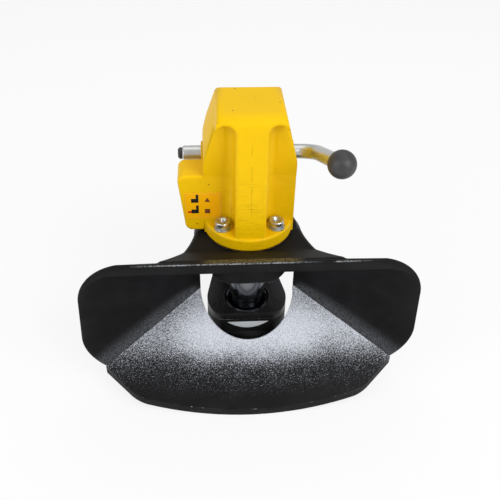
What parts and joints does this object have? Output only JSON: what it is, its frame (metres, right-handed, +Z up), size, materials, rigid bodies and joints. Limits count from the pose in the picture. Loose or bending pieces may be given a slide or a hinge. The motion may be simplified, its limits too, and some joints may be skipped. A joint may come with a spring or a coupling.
{
  "type": "automatic pin coupling",
  "caption": "Drawbar pin coupling with a swinging catch funnel, vertical coupling pin, hand lever and lock indicator on a shaft mount.",
  "frame": {"origin": "centre of the coupled towing eye: mid height of the throat, on the axis of the coupling pin", "axes": "+Y along the draw shaft towards the towing vehicle, -Y out of the funnel mouth, +Z up along the coupling pin"},
  "size_m": [0.4124, 0.3905, 0.3698],
  "materials": {
    "black_cast": "satin black paint on cast iron",
    "yellow_cast": "semi-gloss yellow paint on a sand casting",
    "pin_steel": "hardened and greased steel",
    "zinc_steel": "bright zinc plate",
    "wear_steel": "dark hardened steel",
    "spring_steel": "oiled spring steel",
    "bronze": "satin",
    "black_plastic": "satin moulded plastic",
    "gasket": "matte",
    "red_paint": "gloss red",
    "label": "printed film"
  },
  "bodies": {
    "head": {"coupling_head": "black_cast", "wear_plate": "wear_steel", "wear_plate_screws": "zinc_steel", "upper_bush": "pin_steel", "lower_bush": "pin_steel", "lower_cover": "black_cast", "lower_cover_bolts": "zinc_steel", "shaft_washer": "zinc_steel", "castle_nut": "zinc_steel", "split_pin": "zinc_steel", "mechanism_housing": "yellow_cast", "housing_gasket": "gasket", "housing_washers": "zinc_steel", "housing_bolts": "zinc_steel", "lever_bush_left": "bronze", "lever_bush_right": "bronze", "indicator_sleeve": "bronze", "instruction_label": "label", "closing_spring": "spring_steel"},
    "funnel": {"funnel": "black_cast", "funnel_upper_liner": "bronze", "funnel_lower_liner": "bronze", "funnel_pivot_plate": "black_cast", "pivot_plate_bolts": "zinc_steel"},
    "lever": {"lever_bar": "zinc_steel", "ball_knob": "black_plastic", "lever_end_plug": "black_plastic", "lifting_arm": "pin_steel"},
    "pin": {"coupling_pin": "pin_steel", "lifting_cross_pin": "pin_steel"},
    "indicator": {"indicator_pin": "red_paint"}
  },
  "joints": [
    {"name": "funnel_swing", "type": "hinge", "parent": "head", "child": "funnel", "pos_m": [0, 0, 0], "axis": [0, 0, 1], "range_deg": [-35, 35]},
    {"name": "lever_turn", "type": "hinge", "parent": "head", "child": "lever", "pos_m": [0, 0.04, 0.168], "axis": [-1, 0, 0], "range_deg": [0, 96.73]},
    {"name": "pin_lift", "type": "slide", "parent": "head", "child": "pin", "axis": [0, 0, 1], "range_m": [0, 0.09]},
    {"name": "indicator_slide", "type": "slide", "parent": "head", "child": "indicator", "axis": [-1, 0, 0], "range_m": [0, 0.012]}
  ],
  "couplings": [
    {"joint": "pin_lift", "follows": "lever_turn", "m_per_rad": 0.053307},
    {"joint": "indicator_slide", "follows": "lever_turn", "m_per_rad": 0.007107}
  ]
}
